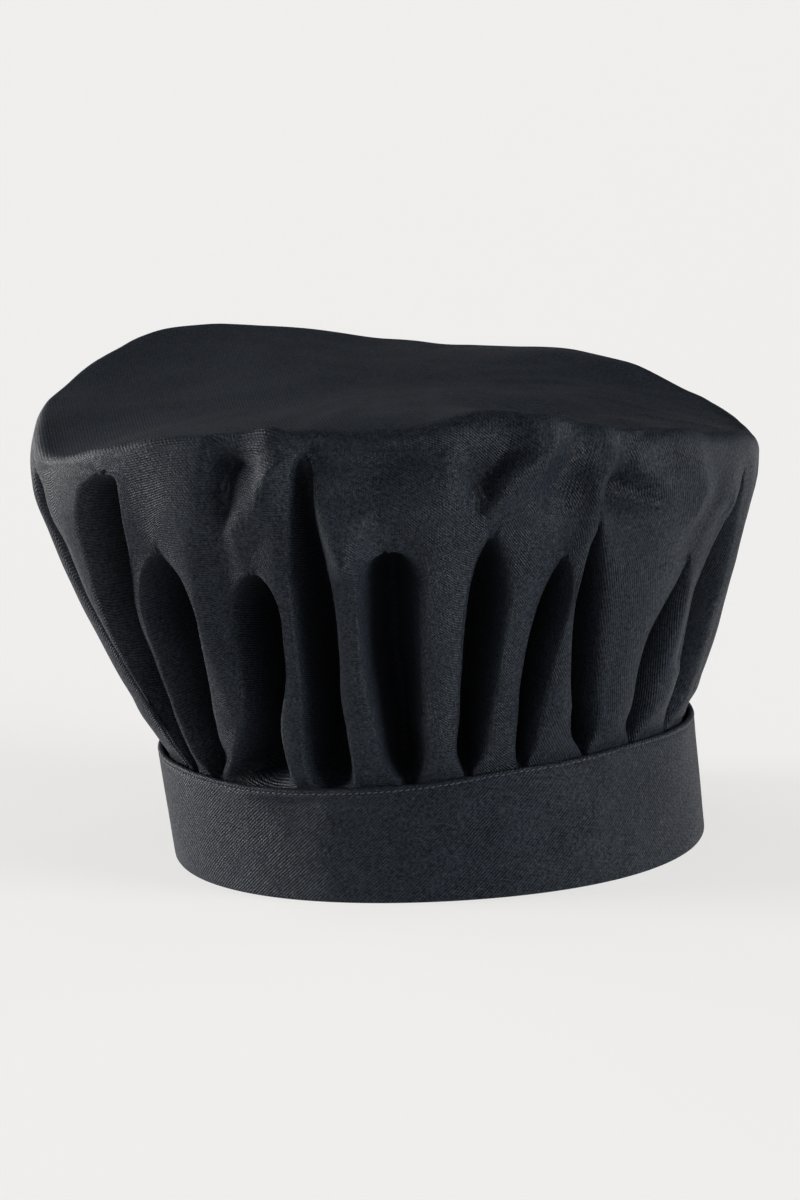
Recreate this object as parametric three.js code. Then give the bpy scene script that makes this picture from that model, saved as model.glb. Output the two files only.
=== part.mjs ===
// Chef hat: a soft crown, one circle of cloth gathered into a straight folded band.
// Millimetres, +Z up. The front of the hat faces -Y, and the origin is the middle of its
// bounding box at the level of the band's lower edge.
import * as THREE from "three";

// Band: a folded strip of cloth, sewn into an oval loop.
const BAND_WIDTH = 182; // outside, left to right, at the lower edge
const BAND_DEPTH = 196.6; // outside, front to back
const BAND_WALL = 2.2; // two layers of cloth with their turnings
const BAND_CENTRE = { x: 9.1, y: 1.5 };
const BAND_TOP_SHIFT = -3; // the upper edge leans to the left
const BAND_TOP_FLARE = 1.1; // and is a little wider than the lower one
const BAND_THREE_LOBE = 0.0041; // share by which the oval is drawn in at three places
const BAND_SQUARENESS = 0.0114; // share by which the oval fills its corners
const BAND_EDGE_ROUND = 0.6; // rounding of the folded edges
const BAND_SEGMENTS = 72;

// Crown: one layer of cloth, lifted to the widest line, over the rim and in to the middle.
const CROWN_WALL = 1.1;
const CROWN_CENTRE = { x: 1.1, y: 1.5 };
const TOP_CENTRE_HEIGHT = 157;
const TUCK = 9; // depth of the gathered edge inside the band
const SEAM_GAP = 0.4; // between the gathered edge and the band's inner face
const SEAM_LIFT = 0.4; // from the band's upper edge to where the folds open
const SIDE_CLOTH = 108; // cloth length from the seam to the widest line
const SHOULDER_CLOTH = 24; // from the widest line to the rim
const TOP_CLOTH = 116; // from the rim to the middle of the top
const ROUNDING = 3; // how far each puff between two folds stands proud of their lines

// Steps up the cloth: below 0 it is tucked in the band, 0 to 1 is the side, 1 to 2 the
// shoulder and 2 to 3 the top.
const TUCK_STEP = -0.08;
const RIM_STEP = 2;
const FOLD_ROWS = [0, 0.07, 0.18, 0.32, 0.47, 0.62, 0.76, 0.87, 0.95, 1]; // shares of a fold's length
const OVER_FOLD_ROWS = [0.18, 0.36, 0.54, 0.76, 1]; // shares of the way from its head to the rim
const TOP_STEPS = [2.3, 2.65];
const COLUMNS_PER_FOLD = 6;

// Rows of a table become objects with the named columns.
const table = (columns, rows) =>
  rows.map((row) => Object.fromEntries(columns.map((name, k) => [name, row[k]])));

// Height of the band's upper edge. Azimuth 0 is the front and 90 is +X.
const BAND_TOP = table(
  ["at", "height"],
  [
    [-180, 40.5],
    [-135, 39],
    [-90, 37.2],
    [-60, 38.2],
    [-40, 37.7],
    [-25, 38.2],
    [0, 40],
    [15, 42.2],
    [30, 43],
    [45, 43.9],
    [60, 43],
    [75, 41.6],
    [90, 40.4],
    [135, 40.5],
  ],
);

// Distance from the crown's axis and height of the widest line, and of the rim above it.
const RIM = table(
  ["at", "wide", "wideHeight", "rim", "rimHeight"],
  [
    [-180, 120, 132, 113, 154],
    [-168, 120, 134, 114, 157.5],
    [-154, 124, 140, 118, 162],
    [-139, 126, 145, 119, 165.5],
    [-121, 123.5, 146, 116, 160.5],
    [-105, 123, 143, 118, 155],
    [-88, 123, 138, 116, 151],
    [-68, 126, 134, 120, 145],
    [-52, 127, 137, 120, 151],
    [-34, 125.5, 140, 118, 158.5],
    [-15, 122.5, 141, 115.5, 161.5],
    [0, 122, 140, 114.5, 162],
    [17, 122.5, 139, 114, 163],
    [28, 124, 136, 114, 158],
    [36, 124, 133, 115, 152.5],
    [47, 124, 131, 116, 149],
    [68, 123, 129, 116, 141],
    [90, 120.5, 127, 116, 134],
    [105, 120, 125, 115, 135],
    [120, 120, 125, 115, 139],
    [135, 120, 127, 113, 146.5],
    [150, 120, 130, 113, 151.5],
    [165, 120, 131, 112, 152.5],
  ],
);

// How round the shoulder is: near 0 it has a sharp corner, and at 1 it is an ellipse.
const SHOULDER = table(
  ["at", "roundness"],
  [
    [-180, 0.8],
    [-100, 0.8],
    [-70, 0.7],
    [-55, 0.48],
    [-20, 0.42],
    [5, 0.5],
    [25, 0.66],
    [60, 0.8],
  ],
);

// Share of the way out from the seam to the widest line, by share of the way up.
const FLARE = table(
  ["at", "out"],
  [
    [0, 0],
    [0.2, 0.27],
    [0.4, 0.5],
    [0.6, 0.71],
    [0.8, 0.88],
    [0.93, 0.985],
    [1, 1],
  ],
);

// Gathering folds, the front ones first. Azimuths of the fold's line at the seam, in the
// middle and at its head; the step at which it ends; its depth; its width to the left and
// to the right of the line; how crisp those two lips are; the share of its length over
// which it closes; and the share of its width that it keeps at the seam.
const FOLDS = table(
  ["foot", "middle", "head", "end", "depth", "left", "right", "leftLip", "rightLip", "closing", "footWidth"],
  [
    [-63, -69.5, -73, 1.22, 15, 11, 9, 1.4, 2.2, 0.4, 0.2],
    [-59, -57.2, -49.5, 1.13, 22, 14, 13, 1.4, 2.6, 0.25, 0.15],
    [-51, -45.2, -42, 0.8, 22, 11, 12, 1.8, 2.4, 0.3, 0.3],
    [-37, -28.6, -25.4, 0.73, 26, 11.5, 9, 2, 2, 0.22, 1.6],
    [-21.1, -17, -14.3, 1.15, 26, 8.8, 9.6, 2.6, 2, 0.5, 0.95],
    [-4.6, -4.3, -2.5, 0.8, 26, 10.4, 11, 2, 1.5, 0.13, 0.35],
    [8.3, 11.4, 14.2, 0.83, 24, 7.2, 7.8, 2, 2.4, 0.35, 0.2],
    [20.2, 22.4, 26.3, 0.76, 23, 5.4, 6, 1.8, 2.2, 0.35, 0.35],
    [35, 31.6, 31.8, 0.89, 25, 7.4, 7.2, 2, 2.2, 0.5, 0.2],
    [48.6, 49.9, 54.5, 0.7, 23, 9, 8.5, 1.6, 2.2, 0.55, 0.25],
    [63.5, 65.3, 69, 1.0, 18, 12, 10, 1.6, 2, 0.75, 0.3],
    [79.5, 77.5, 79, 0.48, 13, 6.5, 6.5, 1.5, 1.5, 0.5, 0.2],
    [96, 95, 95, 0.9, 14, 7, 7, 0.8, 0.8, 0.4, 0.2],
    [112, 112, 113, 0.7, 15, 7, 7, 0.8, 0.8, 0.3, 0.2],
    [129, 130, 130, 1, 15, 8, 7, 0.8, 0.8, 0.5, 0.2],
    [145, 144, 145, 0.75, 15, 7, 8, 0.8, 0.8, 0.3, 0.3],
    [162, 163, 164, 0.92, 15, 8, 7, 0.8, 0.8, 0.4, 0.2],
    [178, 178, 177, 0.65, 15, 7, 7, 0.8, 0.8, 0.3, 0.2],
    [194, 195, 196, 1.05, 16, 8, 7, 0.8, 0.8, 0.5, 0.3],
    [211, 210, 210, 0.72, 15, 7, 8, 0.8, 0.8, 0.3, 0.2],
    [227, 228, 228, 0.95, 15, 7, 7, 0.8, 0.8, 0.4, 0.2],
    [244, 244, 243, 0.7, 15, 8, 7, 0.8, 0.8, 0.3, 0.2],
    [260, 259, 259, 1, 14, 7, 7, 0.8, 0.8, 0.5, 0.2],
    [277, 271, 270, 0.75, 12, 7, 6, 0.8, 0.8, 0.4, 0.2],
  ],
);

// Share of a fold's depth, by step up the cloth.
const FOLD_DEPTH = table(
  ["at", "share"],
  [
    [-0.1, 0.02],
    [-0.03, 0.04],
    [0, 0.14],
    [0.04, 0.46],
    [0.1, 0.74],
    [0.2, 0.92],
    [0.38, 1],
    [3, 1],
  ],
);

// Share of the puffs' rounding, by step up the cloth.
const PUFF = table(
  ["at", "share"],
  [
    [-0.1, 0.3],
    [0, 0.3],
    [0.2, 1],
    [0.6, 1],
    [1.1, 0.25],
    [1.6, 0],
    [3, 0],
  ],
);

// Pulled creases on the front, each as points along it from its low or left end: where it
// passes, how far the cloth is lifted there, and how far that reaches to the left and right
// of the way along it. At softness 0 two flat facets meet in a crisp line, at 1 it is round.
const creasePath = (rows) => table(["azimuth", "step", "lift", "left", "right"], rows);
const CREASES = [
  // left pull
  {
    softness: 0.1,
    path: creasePath([
      [-29.6, 0.86, -1, 3, 4],
      [-28.4, 0.97, -7, 5, 13],
      [-27.4, 1.2, -9, 6, 22],
      [-26.6, 1.5, -5, 7, 20],
      [-26, 1.85, 0, 8, 18],
    ]),
  },
  // left pull ridge
  {
    softness: 0.1,
    path: creasePath([
      [-29.6, 0.85, 1, 4, 6],
      [-25, 0.94, 4, 9, 10],
      [-20, 1.03, 5.5, 15, 10],
      [-16.5, 1.15, 4, 20, 8],
      [-14, 1.32, 0, 20, 8],
    ]),
  },
  // left rim ridge
  {
    softness: 0.4,
    path: creasePath([
      [-17, 1.2, 0, 8, 10],
      [-20, 1.4, 1, 8, 12],
      [-24, 1.9, 0, 8, 12],
    ]),
  },
  // flap
  {
    softness: 0.3,
    path: creasePath([
      [-9.5, 0.73, 3.5, 4, 6],
      [-11, 0.84, 4, 5, 9],
      [-12.3, 0.98, 3, 4, 12],
      [-14, 1.2, 0, 3, 10],
    ]),
  },
  // swag
  {
    softness: 0.3,
    path: creasePath([
      [-9.5, 0.75, 3, 8, 4],
      [-6.4, 0.89, 3.5, 10, 5],
      [-2.1, 0.95, 3.5, 11, 7],
      [5.6, 0.96, 3, 11, 7],
      [11, 0.94, 2, 10, 6],
    ]),
  },
  // middle pull
  {
    softness: 0.2,
    path: creasePath([
      [11.6, 0.9, -2, 8, 2],
      [12.6, 0.96, -6, 13, 3],
      [14.5, 1.04, -6, 17, 4],
      [17.5, 1.2, -3, 18, 5],
      [21, 1.4, 0, 18, 6],
    ]),
  },
  // middle ridge
  {
    softness: 0,
    path: creasePath([
      [12.2, 0.92, 1, 2, 4],
      [15.8, 1, 5, 5, 6],
      [19.6, 1.09, 5, 8, 6.5],
      [25, 1.35, 2.5, 12, 7],
      [30, 1.85, 0.5, 14, 10],
    ]),
  },
  // right valley
  {
    softness: 0.4,
    path: creasePath([
      [23, 0.88, -1, 6, 6],
      [24, 1, -3.5, 6, 9],
      [27, 1.2, -3.5, 7, 10],
      [31, 1.6, -1, 9, 12],
    ]),
  },
  // right ridge
  {
    softness: 0,
    path: creasePath([
      [31, 0.84, 1, 5, 3],
      [29.8, 0.95, 4, 9, 3],
      [31.2, 1.04, 5, 11, 3.5],
      [33.6, 1.22, 4, 12, 4],
      [36.4, 1.5, 2, 14, 6],
      [38.5, 1.85, 0.5, 14, 8],
    ]),
  },
  // right fall
  {
    softness: 0.1,
    path: creasePath([
      [34.6, 0.86, -2, 3, 16],
      [34, 0.95, -7, 4, 32],
      [35, 1.06, -12, 5, 36],
      [37.2, 1.3, -8, 6, 30],
      [38.5, 1.65, -2, 6, 20],
    ]),
  },
  // right facet edge
  {
    softness: 0.1,
    path: creasePath([
      [50, 0.82, 1, 8, 6],
      [53, 0.98, 4, 12, 12],
      [51.5, 1.2, 3, 14, 14],
      [46, 1.6, 0, 14, 12],
    ]),
  },
  // left valley
  {
    softness: 0.6,
    path: creasePath([
      [-34, 0.25, -2, 8, 5],
      [-32, 0.55, -6, 12, 9],
      [-30, 0.82, -4, 10, 7],
      [-28, 0.92, -1, 6, 4],
    ]),
  },
  // right slope
  {
    softness: 0.6,
    path: creasePath([
      [58, 0.3, -2, 8, 8],
      [60.5, 0.55, -5, 12, 9],
      [63, 0.8, -3, 12, 9],
    ]),
  },
];

// Soft hollows below the rim: place, reach along and up the cloth, and depth.
const HOLLOWS = table(
  ["at", "step", "along", "up", "depth"],
  [
    [-1, 1.35, 24, 16, 5],
    [-4, 0.98, 5, 6, 1.5],
  ],
);
const REFERENCE_RADIUS = 118; // where lengths along the cloth are taken for creases and hollows

const CLOTH = { color: 0x202227, roughness: 0.85, metalness: 0 };

const radians = THREE.MathUtils.degToRad;
const clamp = THREE.MathUtils.clamp;
const mix = THREE.MathUtils.lerp;
const smooth = (x, low, high) => THREE.MathUtils.smoothstep(x, low, high);
const halfTurn = (degrees) => THREE.MathUtils.euclideanModulo(degrees + 180, 360) - 180;

// A smooth curve through the rows of a table, read at x.
function through(rows, x, column) {
  const last = rows.length - 1;
  const at = clamp(x, rows[0].at, rows[last].at);
  let i = 0;
  while (i < last - 1 && rows[i + 1].at <= at) i += 1;
  const span = rows[i + 1].at - rows[i].at;
  const t = (at - rows[i].at) / span;
  const start = slope(rows, i, column) * span;
  const end = slope(rows, i + 1, column) * span;
  const rise = rows[i + 1][column] - rows[i][column];
  const bend = t * t * (3 - 2 * t);
  return rows[i][column] + rise * bend + t * (1 - t) * ((1 - t) * start - t * end);
}

function slope(rows, i, column) {
  const rise = (a, b) => (rows[b][column] - rows[a][column]) / (rows[b].at - rows[a].at);
  if (i === 0) return rise(0, 1);
  if (i === rows.length - 1) return rise(i - 1, i);
  const before = rows[i].at - rows[i - 1].at;
  const after = rows[i + 1].at - rows[i].at;
  return (rise(i - 1, i) * after + rise(i, i + 1) * before) / (before + after);
}

// The same for a table that goes once round the hat.
function around(rows, azimuth, column) {
  const turns = [-360, 0, 360].flatMap((turn) =>
    rows.map((row) => ({ ...row, at: row.at + turn })),
  );
  return through(turns, halfTurn(azimuth), column);
}

// Outer outline of the band at a share of its height, set out by a margin.
function bandOutline(azimuth, up, margin) {
  const a = radians(azimuth);
  const shape = 1 - BAND_THREE_LOBE * Math.cos(3 * a) - BAND_SQUARENESS * Math.cos(4 * a);
  const grown = BAND_TOP_FLARE * up + margin;
  return {
    x: BAND_CENTRE.x + BAND_TOP_SHIFT * up + (BAND_WIDTH / 2 + grown) * Math.sin(a) * shape,
    y: BAND_CENTRE.y - (BAND_DEPTH / 2 + grown) * Math.cos(a) * shape,
  };
}

function crownRing(azimuth, radius, z) {
  const a = radians(azimuth);
  return {
    x: CROWN_CENTRE.x + radius * Math.sin(a),
    y: CROWN_CENTRE.y - radius * Math.cos(a),
    z,
  };
}

// The crown's surface as it would be without its folds.
function crownForm(azimuth, step) {
  const bandTop = around(BAND_TOP, azimuth, "height");
  const tucked = (Math.min(step, 0) / TUCK_STEP) * TUCK;
  const inside = bandOutline(azimuth, 1 - tucked / bandTop, -BAND_WALL - SEAM_GAP);
  const seam = { ...inside, z: bandTop + SEAM_LIFT - tucked };
  const wide = crownRing(azimuth, around(RIM, azimuth, "wide"), around(RIM, azimuth, "wideHeight"));
  const rim = crownRing(azimuth, around(RIM, azimuth, "rim"), around(RIM, azimuth, "rimHeight"));
  if (step <= 1) {
    const up = clamp(step, 0, 1);
    const out = through(FLARE, up, "out");
    return new THREE.Vector3(
      mix(seam.x, wide.x, out),
      mix(seam.y, wide.y, out),
      mix(seam.z, wide.z, up),
    );
  }
  if (step <= 2) {
    const turn = ((step - 1) * Math.PI) / 2;
    const roundness = around(SHOULDER, azimuth, "roundness");
    const inward = 1 - Math.max(Math.cos(turn), 0) ** roundness;
    const up = Math.sin(turn) ** roundness;
    return new THREE.Vector3(
      mix(wide.x, rim.x, inward),
      mix(wide.y, rim.y, inward),
      mix(wide.z, rim.z, up),
    );
  }
  const out = 3 - step;
  return new THREE.Vector3(
    mix(CROWN_CENTRE.x, rim.x, out),
    mix(CROWN_CENTRE.y, rim.y, out),
    mix(TOP_CENTRE_HEIGHT, rim.z, out * out),
  );
}

// Azimuth of a fold's line at a step up the cloth.
function foldLine(fold, step) {
  const middle = Math.min(0.45, fold.end / 2);
  const line = table(
    ["at", "azimuth"],
    [
      [0, fold.foot],
      [middle, fold.middle],
      [Math.max(fold.end, middle + 0.1), fold.head],
      [3, fold.head],
    ],
  );
  return through(line, step, "azimuth");
}

// 1 along an open fold, falling to 0 at its head: a long closing makes a pointed arch.
function foldOpen(fold, step) {
  const x = clamp((step / fold.end - 1 + fold.closing) / fold.closing, 0, 1);
  return Math.max(1 - x * x, 0) ** (0.3 + 1.2 * fold.closing);
}

function foldDepth(fold, step) {
  return fold.depth * through(FOLD_DEPTH, step, "share") * foldOpen(fold, step) ** 1.1;
}

function foldWidth(fold, step, side) {
  const body = table(
    ["at", "share"],
    [
      [0, fold.footWidth],
      [0.06, mix(0.45, 1, fold.footWidth)],
      [0.25, 0.78],
      [0.5, 0.92],
      [0.75, 1],
      [1, 1],
    ],
  );
  const open = mix(0.1, 1, foldOpen(fold, step));
  return fold[side] * through(body, clamp(step / fold.end, 0, 1), "share") * open;
}

// Azimuth and sinking of the cloth at a share of the way from one fold to the next:
// a third is the first fold's wall, a third the puff between, a third the next fold's wall.
function acrossPuff(fold, next, turn, share, step) {
  const first = foldLine(fold, step);
  const second = foldLine(next, step) + turn;
  const gap = second - first;
  const radius = through(PUFF_RADIUS, step, "radius");
  const even = gap / 3;
  const spread = (f) => smooth(step, f.end * 0.95, f.end * 0.95 + 0.35);
  let wallOut = mix(foldWidth(fold, step, "right") / radians(radius), even, spread(fold));
  let wallIn = mix(foldWidth(next, step, "left") / radians(radius), even, spread(next));
  const squeeze = Math.min(1, (gap * 0.92) / (wallOut + wallIn));
  wallOut *= squeeze;
  wallIn *= squeeze;
  const third = share * 3;
  let azimuth = first + wallOut + (gap - wallOut - wallIn) * (third - 1);
  let sunk = 0;
  if (third < 1) {
    azimuth = first + wallOut * third;
    sunk = foldDepth(fold, step) * (1 - smooth(third ** fold.rightLip, 0, 1));
  } else if (third > 2) {
    azimuth = second - wallIn * (3 - third);
    sunk = foldDepth(next, step) * (1 - smooth((3 - third) ** next.leftLip, 0, 1));
  }
  const rounded = (1 + Math.cos((2 * Math.PI * (azimuth - first)) / gap)) / 2;
  sunk += rounded * ROUNDING * through(PUFF, step, "share");
  return { azimuth, sunk };
}

const PUFF_RADIUS = table(
  ["at", "radius"],
  [
    [0, 96],
    [1, 124],
    [2, 116],
    [3, 116],
  ],
);

const CLOTH_LENGTH = table(
  ["at", "length"],
  [
    [-0.1, -TUCK],
    [0, 0],
    [1, SIDE_CLOTH],
    [2, SIDE_CLOTH + SHOULDER_CLOTH],
    [3, SIDE_CLOTH + SHOULDER_CLOTH + TOP_CLOTH],
  ],
);
const upCloth = (step) => through(CLOTH_LENGTH, step, "length");
const alongCloth = (from, to) => radians(halfTurn(to - from)) * REFERENCE_RADIUS;

// Lift of one crease at a point of the cloth: highest on its line, none past its widths.
function creaseLift({ softness, path }, azimuth, step) {
  const start = path[0].azimuth;
  const along = alongCloth(start, azimuth);
  const up = upCloth(step);
  let nearest = Infinity;
  let lift = 0;
  for (let k = 0; k < path.length - 1; k += 1) {
    const from = path[k];
    const to = path[k + 1];
    const fromX = alongCloth(start, from.azimuth);
    const fromY = upCloth(from.step);
    const spanX = alongCloth(start, to.azimuth) - fromX;
    const spanY = upCloth(to.step) - fromY;
    const along01 = ((along - fromX) * spanX + (up - fromY) * spanY) / (spanX ** 2 + spanY ** 2);
    const share = clamp(along01, 0, 1);
    const offX = along - fromX - share * spanX;
    const offY = up - fromY - share * spanY;
    const away = Math.hypot(offX, offY);
    if (away < nearest) {
      const side = offX * spanY - offY * spanX < 0 ? "left" : "right";
      const reach = clamp(away / mix(from[side], to[side], share), 0, 1);
      const shape = mix((1 - reach) ** 1.25, 1 - smooth(reach, 0, 1), softness);
      lift = mix(from.lift, to.lift, share) * shape;
      nearest = away;
    }
  }
  return lift;
}

function hollowDepth(hollow, azimuth, step) {
  const along = alongCloth(hollow.at, azimuth) / hollow.along;
  const up = (upCloth(step) - upCloth(hollow.step)) / hollow.up;
  return hollow.depth * Math.exp(-along * along - up * up);
}

// The two folds on either side of a column, and the share of the way between them.
function foldsBeside(column) {
  const index = Math.floor(column / COLUMNS_PER_FOLD);
  return {
    fold: FOLDS[index],
    next: FOLDS[(index + 1) % FOLDS.length],
    turn: index === FOLDS.length - 1 ? 360 : 0,
    share: (column % COLUMNS_PER_FOLD) / COLUMNS_PER_FOLD,
  };
}

// Steps of a column's points: rows close up towards the heads of the folds beside it.
function columnSteps(column) {
  const { fold, next, share } = foldsBeside(column);
  const head = mix(fold.end, next.end, smooth(share, 0, 1));
  const beside = FOLD_ROWS.map((row) => row * head);
  const above = OVER_FOLD_ROWS.map((row) => mix(head, RIM_STEP, row));
  return [TUCK_STEP, ...beside, ...above, ...TOP_STEPS];
}

// A point of the crown's outer face.
function crownPoint(column, step) {
  const { fold, next, turn, share } = foldsBeside(column);
  const { azimuth, sunk } = acrossPuff(fold, next, turn, share, step);
  let lift = -sunk;
  for (const crease of CREASES) lift += creaseLift(crease, azimuth, step);
  for (const hollow of HOLLOWS) lift -= hollowDepth(hollow, azimuth, step);
  const upward = smooth(step, 0.8, 2);
  const a = radians(azimuth);
  const outward = new THREE.Vector3(
    Math.sin(a) * (1 - upward),
    -Math.cos(a) * (1 - upward),
    upward,
  ).normalize();
  return crownForm(azimuth, step).addScaledVector(outward, lift);
}

// The crown's outer face as rings of points, the tucked edge first. The rings of the top
// have half as many points, and the last one is the middle of the top.
function crownRings() {
  const rings = columnSteps(0).map(() => []);
  const topStart = rings.length - TOP_STEPS.length;
  for (let column = 0; column < FOLDS.length * COLUMNS_PER_FOLD; column += 1) {
    columnSteps(column).forEach((step, row) => {
      if (row < topStart || column % 2 === 0) rings[row].push(crownPoint(column, step));
    });
  }
  rings.push([new THREE.Vector3(CROWN_CENTRE.x, CROWN_CENTRE.y, TOP_CENTRE_HEIGHT)]);
  return rings;
}

// Triangles between neighbouring rings: equal, halved, or closed on one point.
function ringFaces(rings) {
  const starts = [];
  let total = 0;
  for (const ring of rings) {
    starts.push(total);
    total += ring.length;
  }
  const faces = [];
  for (let r = 0; r < rings.length - 1; r += 1) {
    const low = (k) => starts[r] + (k % rings[r].length);
    const high = (k) => starts[r + 1] + (k % rings[r + 1].length);
    for (let k = 0; k < rings[r].length; k += 1) {
      if (rings[r + 1].length === 1) {
        faces.push([low(k), low(k + 1), high(0)]);
      } else if (rings[r + 1].length === rings[r].length) {
        faces.push([low(k), low(k + 1), high(k + 1)], [low(k), high(k + 1), high(k)]);
      } else if (k % 2 === 0) {
        faces.push([low(k), low(k + 1), high(k / 2)]);
      } else {
        faces.push([low(k), low(k + 1), high((k + 1) / 2)]);
        faces.push([low(k), high((k + 1) / 2), high((k - 1) / 2)]);
      }
    }
  }
  return faces;
}

function geometryOf(points, faces) {
  const geometry = new THREE.BufferGeometry().setFromPoints(points);
  geometry.setIndex(faces.flat());
  geometry.computeVertexNormals();
  return geometry;
}

// A cloth wall under the outer face, joined to it round the tucked edge.
function crownGeometry() {
  const rings = crownRings();
  const outer = rings.flat();
  const faces = ringFaces(rings);
  const normals = geometryOf(outer, faces).getAttribute("normal");
  const inner = outer.map((point, k) => {
    const normal = new THREE.Vector3().fromBufferAttribute(normals, k);
    return point.clone().addScaledVector(normal, -CROWN_WALL);
  });
  const shift = outer.length;
  const inside = faces.map(([a, b, c]) => [a + shift, c + shift, b + shift]);
  const edge = [];
  const count = rings[0].length;
  for (let k = 0; k < count; k += 1) {
    const after = (k + 1) % count;
    edge.push([k, k + shift, after + shift], [k, after + shift, after]);
  }
  return geometryOf([...outer, ...inner], [...faces, ...inside, ...edge]);
}

// The band's section, from its outer lower edge round to its inner one: how far up the
// band, how far in from the outer face, and how far below or above the edge.
const BAND_SECTION = table(
  ["up", "inward", "rise"],
  [
    [0, BAND_EDGE_ROUND, 0],
    [0, 0, BAND_EDGE_ROUND],
    [0.5, 0, 0],
    [1, 0, -BAND_EDGE_ROUND],
    [1, BAND_EDGE_ROUND, 0],
    [1, BAND_WALL - BAND_EDGE_ROUND, 0],
    [1, BAND_WALL, -BAND_EDGE_ROUND],
    [0.5, BAND_WALL, 0],
    [0, BAND_WALL, BAND_EDGE_ROUND],
    [0, BAND_WALL - BAND_EDGE_ROUND, 0],
  ],
);

function bandPoint(azimuth, { up, inward, rise }) {
  const outline = bandOutline(azimuth, up, -inward);
  return new THREE.Vector3(outline.x, outline.y, around(BAND_TOP, azimuth, "height") * up + rise);
}

function bandGeometry() {
  const points = [];
  const faces = [];
  const corners = BAND_SECTION.length;
  for (let s = 0; s < BAND_SEGMENTS; s += 1) {
    for (const corner of BAND_SECTION) points.push(bandPoint((360 * s) / BAND_SEGMENTS, corner));
    const here = s * corners;
    const there = ((s + 1) % BAND_SEGMENTS) * corners;
    for (let c = 0; c < corners; c += 1) {
      const d = (c + 1) % corners;
      faces.push([here + c, there + c, there + d], [here + c, there + d, here + d]);
    }
  }
  return geometryOf(points, faces);
}

function named(name, geometry) {
  const mesh = new THREE.Mesh(geometry, new THREE.MeshStandardMaterial(CLOTH));
  mesh.name = name;
  return mesh;
}

const chefHat = new THREE.Group();
chefHat.add(named("band", bandGeometry()));
chefHat.add(named("crown", crownGeometry()));

export default chefHat;
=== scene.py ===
"""The chef hat's cloth, fine enough to show its folds, wrinkles, weave and stitching.

The crown and the band are the solids' own surfaces on a finer grid. Lengths in the tables
are millimetres, azimuth 0 is the front (-Y) and 90 is +X, and a step says how far up the
crown's cloth a point is: below 0 it is tucked in the band, 0 to 1 is the side, 1 to 2 the
shoulder and 2 to 3 the top.
"""

import bpy
import numpy as np
from mathutils import Matrix, Vector


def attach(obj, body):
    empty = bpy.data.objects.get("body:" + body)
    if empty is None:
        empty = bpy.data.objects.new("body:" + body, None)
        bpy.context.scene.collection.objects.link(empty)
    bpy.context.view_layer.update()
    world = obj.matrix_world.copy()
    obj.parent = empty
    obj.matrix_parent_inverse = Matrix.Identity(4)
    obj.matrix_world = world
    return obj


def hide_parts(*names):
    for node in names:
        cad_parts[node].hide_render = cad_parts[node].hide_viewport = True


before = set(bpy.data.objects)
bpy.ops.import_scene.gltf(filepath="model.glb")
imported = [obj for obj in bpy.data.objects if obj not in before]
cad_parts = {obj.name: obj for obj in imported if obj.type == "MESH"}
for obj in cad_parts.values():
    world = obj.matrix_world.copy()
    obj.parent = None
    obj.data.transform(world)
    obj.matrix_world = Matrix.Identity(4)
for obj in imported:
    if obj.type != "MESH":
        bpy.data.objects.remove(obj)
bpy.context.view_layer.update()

MM = 0.001

# Sizes, as in the solids
BAND_WIDTH = 182.0  # outside, left to right, at the lower edge
BAND_DEPTH = 196.6  # outside, front to back
BAND_WALL = 2.2
BAND_CENTRE = (9.1, 1.5)
BAND_TOP_SHIFT = -3.0  # the upper edge leans to the left
BAND_TOP_FLARE = 1.1  # and is a little wider than the lower one
BAND_THREE_LOBE = 0.0041  # share by which the oval is drawn in at three places
BAND_SQUARENESS = 0.0114  # share by which the oval fills its corners
CROWN_WALL = 1.1
CROWN_CENTRE = (1.1, 1.5)
TOP_CENTRE_HEIGHT = 157.0
TUCK = 9.0  # depth of the gathered edge inside the band
SEAM_GAP = 0.4  # between the gathered edge and the band's inner face
SEAM_LIFT = 0.4  # from the band's upper edge to where the folds open
SIDE_CLOTH = 108.0  # cloth length from the seam to the widest line
SHOULDER_CLOTH = 24.0  # from the widest line to the rim
TOP_CLOTH = 116.0  # from the rim to the middle of the top
ROUNDING = 3.0  # how far each puff between two folds stands proud of their lines
TUCK_STEP = -0.08
RIM_STEP = 2.0
REFERENCE_RADIUS = 118.0  # turns degrees round the crown into mm along it


def table(columns, rows):
    """The rows' named columns as arrays."""
    return {name: np.array([row[k] for row in rows], float) for k, name in enumerate(columns.split())}


def records(columns, rows):
    """Each row as a dict with the named columns."""
    return [dict(zip(columns.split(), row)) for row in rows]


# Height of the band's upper edge.
BAND_TOP = table(
    "at height",
    [
        (-180, 40.5),
        (-135, 39),
        (-90, 37.2),
        (-60, 38.2),
        (-40, 37.7),
        (-25, 38.2),
        (0, 40),
        (15, 42.2),
        (30, 43),
        (45, 43.9),
        (60, 43),
        (75, 41.6),
        (90, 40.4),
        (135, 40.5),
    ],
)
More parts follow.
